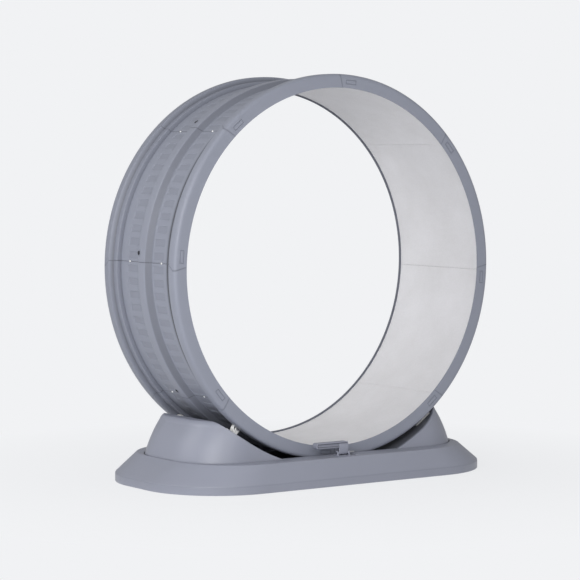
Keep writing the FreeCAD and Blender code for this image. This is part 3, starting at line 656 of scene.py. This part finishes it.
# A fine path up the hump's side, round its top edge by a quarter circle and over its top.
def humpLevels():
    top, bendSize = base["humpTop"], base["topRound"]
    height = np.linspace(base["ledgeTop"], top - bendSize, base["sidePath"])
    size = humpSize(height)
    bend = quarterTurn(base["bendPath"])[1:, None]
    lean = (size[-1] - size[-2]) / (height[-1] - height[-2])
    bent = size[-1] - bendSize * (1 - np.cos(bend)) + lean * bendSize * np.sin(bend) * np.cos(bend) * 0.5
    flat = bent[-1] - np.linspace(*base["topPath"])[:, None]
    height = np.concatenate([height, (height[-1] + bendSize * np.sin(bend)).ravel(), np.full(len(flat), top)])
    return np.concatenate([np.concatenate([size, bent, flat]), height[:, None]], -1)


# Each column of the hump is cut where it first enters the trough's cylinder, or runs level over the ledge to
# the pit's edge. Returns the columns' rows and which columns end at the pit.
def humpClimb(shares):
    path = outlinePoints(humpLevels(), shares)
    reach = path[..., 0] ** 2 + (path[..., 2] - base["troughCentre"]) ** 2 - base["trough"] ** 2
    after = np.argmax(reach < 0, axis=0)
    inPit = after == 0
    before, column = np.maximum(after - 1, 0), np.arange(path.shape[1])
    share = reach[before, column] / (reach[before, column] - reach[after, column] + 1e-9)
    stop = np.where(inPit, 0.0, before + np.clip(share, 0, 1))
    rowShare = np.linspace(0, 1, base["sideRows"])[:, None]
    want = rowShare * stop
    low = np.minimum(np.floor(want).astype(int), len(path) - 2)
    part = (want - low)[..., None]
    climb = path[low, column] * (1 - part) + path[low + 1, column] * part
    level = climb.copy()
    pitEdge = np.sign(shares[:, 1]) * np.where(inPit, base["pitHalf"], np.abs(climb[-1, :, 1]))
    level[..., 1] = climb[0, :, 1] * (1 - rowShare) + pitEdge * rowShare
    return np.where(inPit[None, :, None], level, climb), inPit


def unit(vectors):
    return vectors / (np.linalg.norm(vectors, axis=1, keepdims=True) + 1e-9)


# The edge of the trough and pit is rounded between the column's direction and the way along the cylinder or
# down the pit's wall, and the wall goes on to the trough's floor.
def edgeRows(climb, inPit, shares):
    crossing, size = climb[-1], base["edgeRound"]
    x, none = crossing[:, 0], np.zeros(len(crossing))
    pit = inPit[:, None]
    arrive = np.where(pit, np.stack([none, -np.sign(shares[:, 1]), none], -1), unit(crossing - climb[-2]))
    along = unit(np.roll(crossing, -1, axis=0) - np.roll(crossing, 1, axis=0))
    toAxis = unit(np.stack([-x, none, base["troughCentre"] - crossing[:, 2]], -1))
    leave = np.cross(along, toAxis)
    leave *= -np.sign(np.sum(leave * crossing * (1, 1, 0), axis=1))[:, None]
    leave = np.where(pit, np.array([0.0, 0.0, -1.0]), leave)
    t = np.linspace(0, 1, base["edgeSteps"])[:, None, None]
    rounded = curve(crossing - arrive * size, crossing, crossing + leave * size, t)
    floorHeight = base["troughCentre"] - np.sqrt(np.maximum(0, base["trough"] ** 2 - x ** 2))
    foot = rounded[-1].copy()
    foot[:, 2] = np.where(inPit, np.minimum(floorHeight, foot[:, 2]), foot[:, 2])
    return np.concatenate([rounded, [(rounded[-1] + foot) / 2], [foot]])


# The trough in three parts round the cylinder, the pit's floor and one up each side: x = R sin a,
# z = centre - R cos a, and y is a share of the hump's half depth at that place, spaced by a sine.
def troughShells():
    radius, centre, inset = base["trough"], base["troughCentre"], base["edgeRound"] * base["edgeInset"]
    top, bendSize, count = base["humpTop"], base["topRound"], base["troughRows"]
    meets = math.asin(math.sqrt(radius ** 2 - (centre - base["ledgeTop"]) ** 2) / radius)
    last = math.acos((centre - top) / radius) - inset / radius
    across = np.sin(np.linspace(-math.pi / 2, math.pi / 2, base["troughColumns"]))
    shade = base["troughShade"] * (1 - smoothStep(np.abs(across), base["troughShadeFrom"], 1.0))
    shells = []
    for low, high in ((-meets, meets), (meets, last), (-last, -meets)):
        angle = np.linspace(low, high, count)
        x, z = radius * np.sin(angle), centre - radius * np.cos(angle)
        if low < 0 < high:
            half = np.full(count, base["pitHalf"])
        else:
            over = np.clip((z - top + bendSize) / bendSize, 0, 1)
            inward = bendSize * (1 - np.sqrt(1 - over ** 2))
            length, depth, corner = humpSize(np.minimum(z, top - bendSize)).T - inward
            past = np.maximum(0, np.abs(x) - (length - corner))
            half = depth - corner + np.sqrt(np.maximum(0, corner ** 2 - past ** 2)) - inset
        grid = np.stack(np.broadcast_arrays(x[:, None], half[:, None] * across, z[:, None]), -1)
        shells.append(gridShell(grid, shade * np.ones((count, 1)), wrap=False))
    return shells


# Rows of the housing from the lip's inner return to the trough's edge and wall, then the trough itself.
def baseShells():
    shares = outlineShares()
    skirt = outlinePoints(skirtLevels(), shares)
    away, depth, share = np.array(base["groove"])[1:].T
    foot = humpSize(base["ledgeTop"])
    pressed = outlinePoints([(*(foot + step), base["ledgeTop"]) for step in away], shares)
    fade = smoothStep(np.abs(pressed[..., 0]), *base["grooveFade"])
    pressed[..., 2] -= depth[:, None] * fade
    climb, inPit = humpClimb(shares)
    upper = np.concatenate([climb[:-1], edgeRows(climb, inPit, shares)])
    # painted shade under the lip's top and down the pressed line
    paintedShade = np.concatenate([softLine(skirt[..., 2], base["lipPaintedShade"]), share[:, None] * fade,
                             np.zeros(upper.shape[:2])])
    return [gridShell(np.concatenate([skirt, pressed, upper]), paintedShade), *troughShells()]


baseMesh = makeMesh("baseHousing", baseShells(), base["sharpAngle"])
addPiece("baseHousing", baseMesh, "base", basePlastic, ["base_shell"])
print("base made")

roller = {"orbit": 449.8, "angle": 36.0, "side": 120.0, "radius": 10.5, "half": 6.0, "bore": 8.0,
          "cuts": (0.4, 1.9), "steps": 7, "around": 48}
ballRace = {"radius": 7.98, "half": 2.5, "bore": 2.5, "race": 1.6, "recess": 0.4, "slope": 0.05,
            "cuts": (0.25, 0.12, 0.1, 0.1, 0.12, 0.25), "steps": 4}


# Half a profile of (radius, side) from the bore's middle outwards is closed by its mirror image, its corners
# are rounded and it is turned about a line along Y through the given middle.
def latheShell(half, cuts, steps, middle):
    half = np.array(half, float)
    profile = roundedPath(np.concatenate([half, half[::-1] * (1, -1)]), (*cuts, *cuts[::-1]), steps)
    turn = fullTurn(roller["around"])
    radius, side = profile[:, :1], profile[:, 1:]
    grid = np.stack(np.broadcast_arrays(radius * np.cos(turn), side, radius * np.sin(turn)), -1)
    return gridShell(grid + middle)


def tyreShell(middle):
    bore, half, radius = roller["bore"], roller["half"], roller["radius"]
    return latheShell([(bore, 0), (bore, half), (radius, half)], roller["cuts"], roller["steps"], middle)


def raceShell(middle):
    half, slope, dip = ballRace["half"], ballRace["slope"], ballRace["half"] - ballRace["recess"]
    low, high = ballRace["bore"] + ballRace["race"], ballRace["radius"] - ballRace["race"]
    profile = [(ballRace["bore"], 0), (ballRace["bore"], half), (low, half), (low + slope, dip),
               (high - slope, dip), (high, half), (ballRace["radius"], half)]
    return latheShell(profile, ballRace["cuts"], ballRace["steps"], middle)


lean = math.radians(roller["angle"])
for corner in corners:
    left, front = corner.startswith("left"), corner.endswith("front")
    middle = ((-1 if left else 1) * roller["orbit"] * math.sin(lean), (-1 if front else 1) * roller["side"],
              drum["centre"] - roller["orbit"] * math.cos(lean))
    addPiece("tyre_" + corner, makeMesh("tyre_" + corner, [tyreShell(middle)]), "roller_" + corner,
             rollerNylon, ["roller_" + corner])
    addPiece("ballRace_" + corner, makeMesh("ballRace_" + corner, [raceShell(middle)]), "roller_" + corner,
             groundSteel, ["bearing_" + corner])
print("rollers made")

latch = {
    "left": -92.6, "right": -1.6, "low": 83.5, "high": 97.5, "front": -200.0, "back": -182.0, "corner": 5.6,
    "leastCorner": 0.4, "edge": 1.6, "edgeRows": 5, "backInset": 6.6, "cornerLines": 12, "runLines": 16,
    # the dish: its margin, its lip, its first small step, the width of its slope, its depth and its rows
    "dishMargin": 3.0, "dishLip": 0.5, "dishStart": 0.15, "dishSlope": 3.4, "dishDepth": 2.0,
    "dishShares": (0.15, 0.3, 0.45, 0.6, 0.75, 0.9, 1.0),
    # painted shade in the dish, darkest just inside its lip, one share per ring from the lip down
    "dishPaintedShade": (0.35, 0.8, 0.85, 0.6, 0.4, 0.3, 0.22, 0.2, 0.2, 0.2),
    # the stem's outline as (side, height), with how far each corner is cut
    "stem": ((-194, 67), (-198, 67), (-199, 76), (-200.5, 85), (-200.5, 93), (-191.2, 93), (-191.2, 76),
             (-190, 75), (-190, 67), (-194, 67)),
    "stemCuts": (3.9, 3.0, 3.0, 2.6, 3.0, 2.0, 0.8, 3.9), "stemLeft": -27.6, "stemRound": 1.3,
    "stemCore": (3.0, 3.5), "sharpAngle": 40.0,
}


# Columns round the arm: the signs of the corner's place in x and z, then the direction from it.
def armColumns():
    signs = np.array([(1, 1), (-1, 1), (-1, -1), (1, -1)], float)
    run = np.linspace(0, 1, latch["runLines"])[1:-1, None]
    columns = []
    for k, (here, after) in enumerate(zip(signs, np.roll(signs, -1, axis=0))):
        sweep = quarterTurn(latch["cornerLines"]) + k * math.pi / 2
        away = np.stack([np.cos(sweep), np.sin(sweep)], -1)
        straight = here + (after - here) * run
        columns.append(np.concatenate([np.broadcast_to(here, away.shape), away], -1))
        columns.append(np.concatenate([straight, np.broadcast_to(away[-1], straight.shape)], -1))
    return np.concatenate(columns)


# The finger arm is one rounded outline in x and z, carried through rings that are inset from it: the rear
# edge's round, the front edge's round and the dish, whose floor falls by a smooth step to its depth.
def armShell():
    low, high = np.array([latch["left"], latch["low"]]), np.array([latch["right"], latch["high"]])
    half, middle = (high - low) / 2, (high + low) / 2
    columns = armColumns()

    def ring(inset, side):
        corner = max(latch["corner"] - inset, latch["leastCorner"])
        flat = middle + columns[:, :2] * (half - inset - corner) + columns[:, 2:] * corner
        return np.insert(flat, 1, side, axis=1)

    edge, front, back, bends = latch["edge"], latch["front"], latch["back"], quarterTurn(latch["edgeRows"])
    margin, start, depth = latch["dishMargin"], latch["dishStart"], latch["dishDepth"]
    rings = [ring(latch["backInset"], back)]
    rings += [ring(edge * (1 - math.sin(bend)), back - edge * (1 - math.cos(bend))) for bend in bends]
    rings += [ring(edge * (1 - math.cos(bend)), front + edge * (1 - math.sin(bend))) for bend in bends]
    rings += [ring(margin - latch["dishLip"], front), ring(margin, front + start)]
    for share in latch["dishShares"]:
        level = start + (depth - start) * smoothStep(share, 0, 1)
        rings.append(ring(margin + latch["dishSlope"] * share, front + level))
    # both ends close onto a line at half height
    ends = [rings[0].copy(), rings[-1].copy()]
    for end in ends:
        end[:, 2] = middle[1]
    rings = np.array([ends[0], *rings, ends[1]])
    # painted shade over the dish's rings
    paintedShade = np.zeros(rings.shape[:2])
    paintedShade[-len(latch["dishPaintedShade"]):] = np.array(latch["dishPaintedShade"])[:, None]
    return gridShell(rings, paintedShade)


# A bar whose outline in two directions is carried along the third (0 for x, 2 for z) between two places. Its
# ends are rounded: the outline shrinks by a quarter circle towards a core kept clear of its own edge.
def barShell(outline, cuts, low, high, edge, core, along):
    outline = roundedPath(outline, cuts, 6)[:-1]
    bend = quarterTurn(5)
    places = [low, *(low + edge * (1 - np.cos(bend))), *(high - edge * (1 - np.cos(bend[::-1]))), high]
    shrink = edge * np.concatenate([1 - np.sin(bend), 1 - np.sin(bend[::-1])])
    axis = np.clip(outline, outline.min(axis=0) + core, outline.max(axis=0) - core)
    away = outline - axis
    length = np.linalg.norm(away, axis=1, keepdims=True)
    flats = [axis, *(axis + away * (1 - less / length) for less in shrink), axis]
    return gridShell([np.insert(flat, along, place, axis=1) for flat, place in zip(flats, places)])


stemShell = barShell(latch["stem"], latch["stemCuts"], latch["stemLeft"], latch["right"], latch["stemRound"],
                     latch["stemCore"], 0)
addPiece("latchHandle", makeMesh("latchHandle", [armShell(), stemShell], latch["sharpAngle"]), "latch",
         latchPlastic, ["latch_lever"])
mount = {
    "plate": ((-8, -209), (-33, -209), (-33, -179), (18, -179), (18, -209), (-8, -209)),
    "plateCuts": (5, 5, 5, 5), "low": 64.0, "high": 65.5, "edge": 0.5, "plateCore": (3, 3),
    # an ear's outline in y and z, and where each ear starts and ends along x
    "ear": ((-194, 64.4), (-200, 64.4), (-198, 75), (-190, 75), (-188, 64.4), (-194, 64.4)),
    "earCuts": (0.4, 3.9, 3.9, 0.4), "ears": ((-33.0, -28.0), (-1.2, 3.8)), "earRound": 0.9,
    "earCore": (2.5, 2.5),
}
mountShells = [barShell(mount["plate"], mount["plateCuts"], mount["low"], mount["high"], mount["edge"],
                        mount["plateCore"], 2)]
mountShells += [barShell(mount["ear"], mount["earCuts"], low, high, mount["earRound"], mount["earCore"], 0)
                for low, high in mount["ears"]]
addPiece("latchBracket", makeMesh("latchBracket", mountShells, latch["sharpAngle"]), "base", latchPlastic,
         ["latch_mount"])
print("latch made")

# Nodes that keep their shape and only get a finish.
for corner in corners:
    setMaterial(cadNodes["cradle_" + corner].data, cradlePlastic)
    setMaterial(cadNodes["axle_" + corner].data, zincSteel)
setMaterial(cadNodes["base_floor"].data, basePlastic)
setMaterial(cadNodes["rubber_feet"].data, footRubber)
for node in ("latch_pin", "latch_screws", "base_screws", "cradle_screws", "segment_screws"):
    setMaterial(cadNodes[node].data, zincSteel)
print("other nodes dressed")

# From here all sizes are in metres and angles in degrees. The floor's own glow is nearGlow round its middle
# and full from glowTo.
stage = {"floorSize": 30.0, "background": (0.880, 0.888, 0.905), "glowFrom": 0.45, "glowTo": 1.1,
         "nearGlow": 0.85}
view = {"azimuth": -34.7909, "elevation": 3.4364, "distance": 5.5, "target": (-0.028688, 0.0, 0.44042),
        "lens": 143.274, "sensor": 36.0}
# Soft boxes as (name, place, aimed at, size, watts).
lights = {
    "world": 0.40,
    "boxes": (("keyLight", (-2.35, -1.85, 1.25), (0, 0, 0.30), 1.3, 38.0),
              ("sideLight", (-4.2, 1.4, 3.0), (0, 0, 0.5), 2.0, 46.0),
              ("frontLight", (-2.0, -5.0, 2.6), (0, 0, 0.45), 2.6, 52.0),
              ("fillLight", (3.6, -3.6, 1.4), (0, 0, 0.4), 3.0, 8.0)),
}


# Mixes two shaders by a share, which is 1 where a ray sees the second one.
def mixOut(tree, kind, share, lit, seen):
    mix, out = addNode(tree, "ShaderNodeMixShader"), addNode(tree, kind)
    for source, socket in zip((share, lit.outputs[0], seen.outputs[0]), mix.inputs):
        tree.links.new(source, socket)
    tree.links.new(mix.outputs[0], out.inputs["Surface"])


def makeStage():
    half, colour = stage["floorSize"] / 2, (*stage["background"], 1)
    mesh = bpy.data.meshes.new("floor")
    outline = [(-half, -half, 0), (half, -half, 0), (half, half, 0), (-half, half, 0)]
    mesh.from_pydata(outline, [], [(0, 1, 2, 3)])
    floor = bpy.data.objects.new("floor", mesh)
    bpy.context.scene.collection.objects.link(floor)
    material = bpy.data.materials.new("paleFloor")
    material.use_nodes = True
    tree = material.node_tree
    tree.nodes.clear()
    diffuse = addNode(tree, "ShaderNodeBsdfDiffuse", Color=colour)
    glow = addNode(tree, "ShaderNodeEmission", Color=colour)
    rays = addNode(tree, "ShaderNodeLightPath").outputs
    length = addNode(tree, "ShaderNodeVectorMath", operation="LENGTH")
    tree.links.new(addNode(tree, "ShaderNodeTexCoord").outputs["Object"], length.inputs[0])
    fade = addNode(tree, "ShaderNodeMapRange", From_Min=stage["glowFrom"], From_Max=stage["glowTo"],
                   To_Min=stage["nearGlow"])
    tree.links.new(length.outputs["Value"], fade.inputs["Value"])
    seen = addMath(tree, "MAXIMUM", rays["Is Camera Ray"], rays["Is Glossy Ray"])
    share = addMath(tree, "MULTIPLY", seen, fade.outputs["Result"])
    mixOut(tree, "ShaderNodeOutputMaterial", share, diffuse, glow)
    mesh.materials.append(material)


def makeWorld():
    world = bpy.data.worlds.new("studio")
    bpy.context.scene.world = world
    world.use_nodes = True
    tree = world.node_tree
    tree.nodes.clear()
    seen = addNode(tree, "ShaderNodeBackground", Color=(*stage["background"], 1))
    light = addNode(tree, "ShaderNodeBackground", Color=(1.0, 1.0, 1.0, 1), Strength=lights["world"])
    rays = addNode(tree, "ShaderNodeLightPath").outputs
    either = addMath(tree, "MAXIMUM", rays["Is Camera Ray"], rays["Is Transmission Ray"])
    mixOut(tree, "ShaderNodeOutputWorld", either, light, seen)


def addLight(name, place, aim, size, power):
    lamp = bpy.data.lights.new(name, "AREA")
    lamp.shape = "SQUARE"
    lamp.size = size
    lamp.energy = power
    holder = bpy.data.objects.new(name, lamp)
    bpy.context.scene.collection.objects.link(holder)
    holder.location = place
    holder.rotation_mode = "QUATERNION"
    holder.rotation_quaternion = (Vector(aim) - Vector(place)).to_track_quat("-Z", "Y")


def addCamera():
    turn, lift = math.radians(view["azimuth"]), math.radians(view["elevation"])
    back = Vector((math.sin(turn) * math.cos(lift), -math.cos(turn) * math.cos(lift), math.sin(lift)))
    camera = bpy.data.objects.new("camera", bpy.data.cameras.new("camera"))
    bpy.context.scene.collection.objects.link(camera)
    camera.data.lens = view["lens"]
    camera.data.sensor_width = view["sensor"]
    camera.location = Vector(view["target"]) + back * view["distance"]
    camera.rotation_mode = "QUATERNION"
    camera.rotation_quaternion = (-back).to_track_quat("-Z", "Y")
    bpy.context.scene.camera = camera


makeStage()
makeWorld()
for box in lights["boxes"]:
    addLight(*box)
addCamera()
bpy.context.scene.view_settings.view_transform = "Standard"
print("stage, light and camera made")
